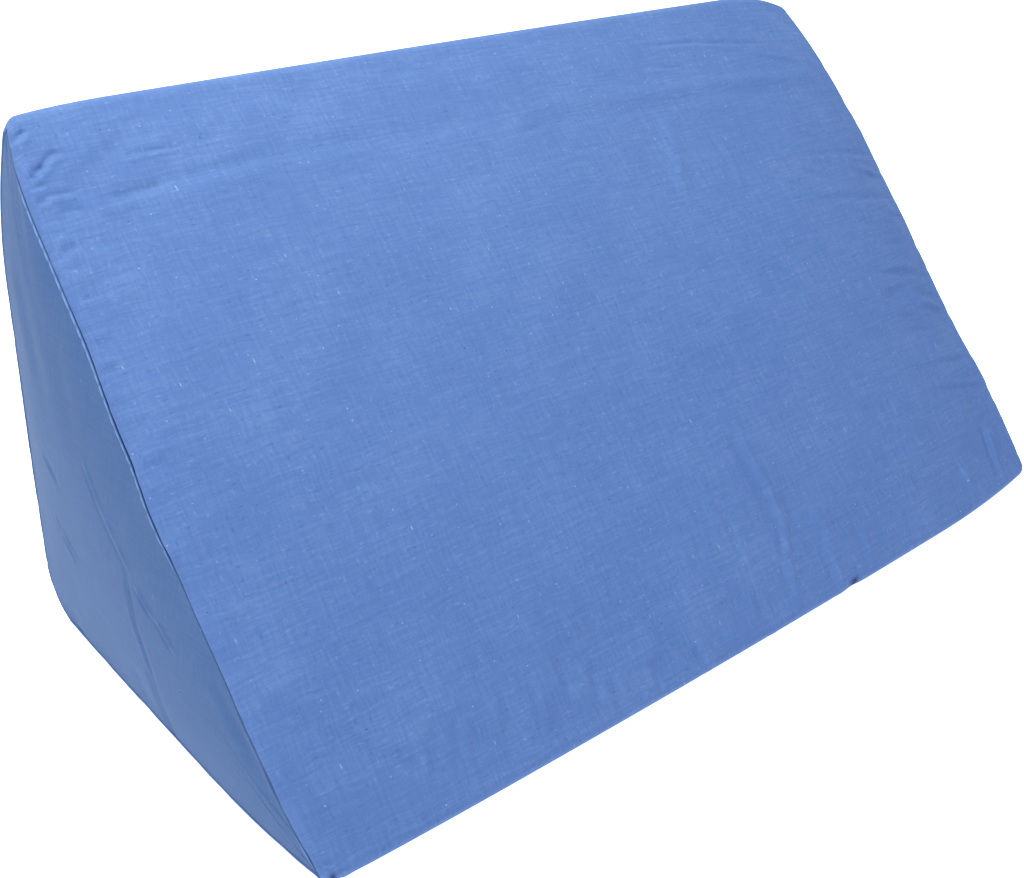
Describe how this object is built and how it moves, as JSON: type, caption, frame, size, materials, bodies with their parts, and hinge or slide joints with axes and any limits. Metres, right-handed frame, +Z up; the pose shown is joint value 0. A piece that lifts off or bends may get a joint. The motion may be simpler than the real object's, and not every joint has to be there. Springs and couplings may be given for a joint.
{
  "type": "positioning wedge cushion",
  "caption": "Foam wedge cushion in a plain woven blue cotton cover, lying on its base, with a sloping face, an upright back and a sewn triangular panel at each end.",
  "frame": {"origin": "middle of the underside, on the surface that the cushion rests on", "axes": "+X along the ridge, +Y from the thin front edge to the upright back, +Z up"},
  "size_m": [0.5124, 0.2372, 0.2423],
  "materials": {
    "wrap_cloth": "plain woven mid-blue cotton, matte",
    "end_cloth": "the same plain woven mid-blue cotton, matte"
  },
  "bodies": {
    "root": {"cushion_body": "wrap_cloth", "end_panel_left": "end_cloth", "end_panel_right": "end_cloth"}
  },
  "joints": []
}
